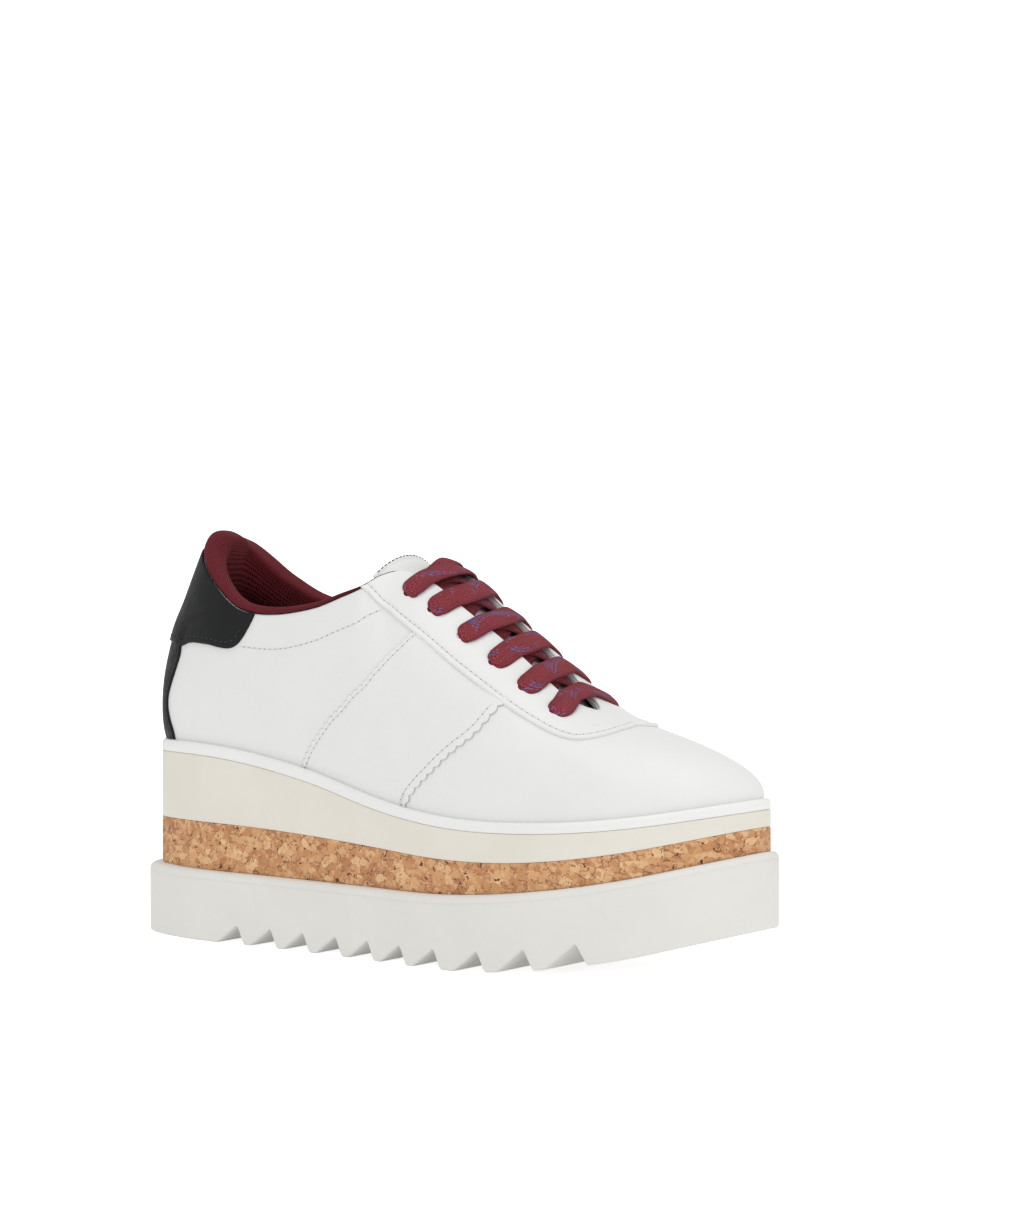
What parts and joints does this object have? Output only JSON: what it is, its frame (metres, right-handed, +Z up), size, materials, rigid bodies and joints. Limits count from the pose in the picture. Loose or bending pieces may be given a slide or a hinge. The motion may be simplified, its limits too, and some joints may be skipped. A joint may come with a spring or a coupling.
{
  "type": "platform sneaker",
  "caption": "Low platform lace-up sneaker for the right foot with a hollow upper, stacked rubber, cork and foam wedge sole, saw-tooth tread, padded collar and flat laces.",
  "frame": {"origin": "middle of the bounding box's bottom face, on the ground under the outsole", "axes": "+X runs from the heel to the toe, +Y to the inner (big toe) side of the foot, +Z up"},
  "size_m": [0.281, 0.0935, 0.1635],
  "materials": {
    "outsole": "matt off-white moulded rubber",
    "cork": "bare pressed cork",
    "midsole": "matt cream foam rubber",
    "rand": "smooth white",
    "insole": "burgundy knit over foam",
    "white_leather": "smooth white, semi-matt",
    "black_leather": "smooth black, semi-matt",
    "lining": "burgundy knit over padding",
    "lace": "flat woven burgundy with blue flecks"
  },
  "bodies": {
    "root": {"outsole": "outsole", "cork_layer": "cork", "midsole": "midsole", "rand": "rand", "insole": "insole", "upper": "white_leather", "facing": "white_leather", "heel_tab": "black_leather", "back_strip": "black_leather", "collar_lining": "lining", "tongue": "white_leather", "lace_bar_1": "lace", "lace_bar_2": "lace", "lace_bar_3": "lace", "lace_bar_4": "lace", "lace_bar_5": "lace", "lace_bar_6": "lace"}
  },
  "joints": []
}
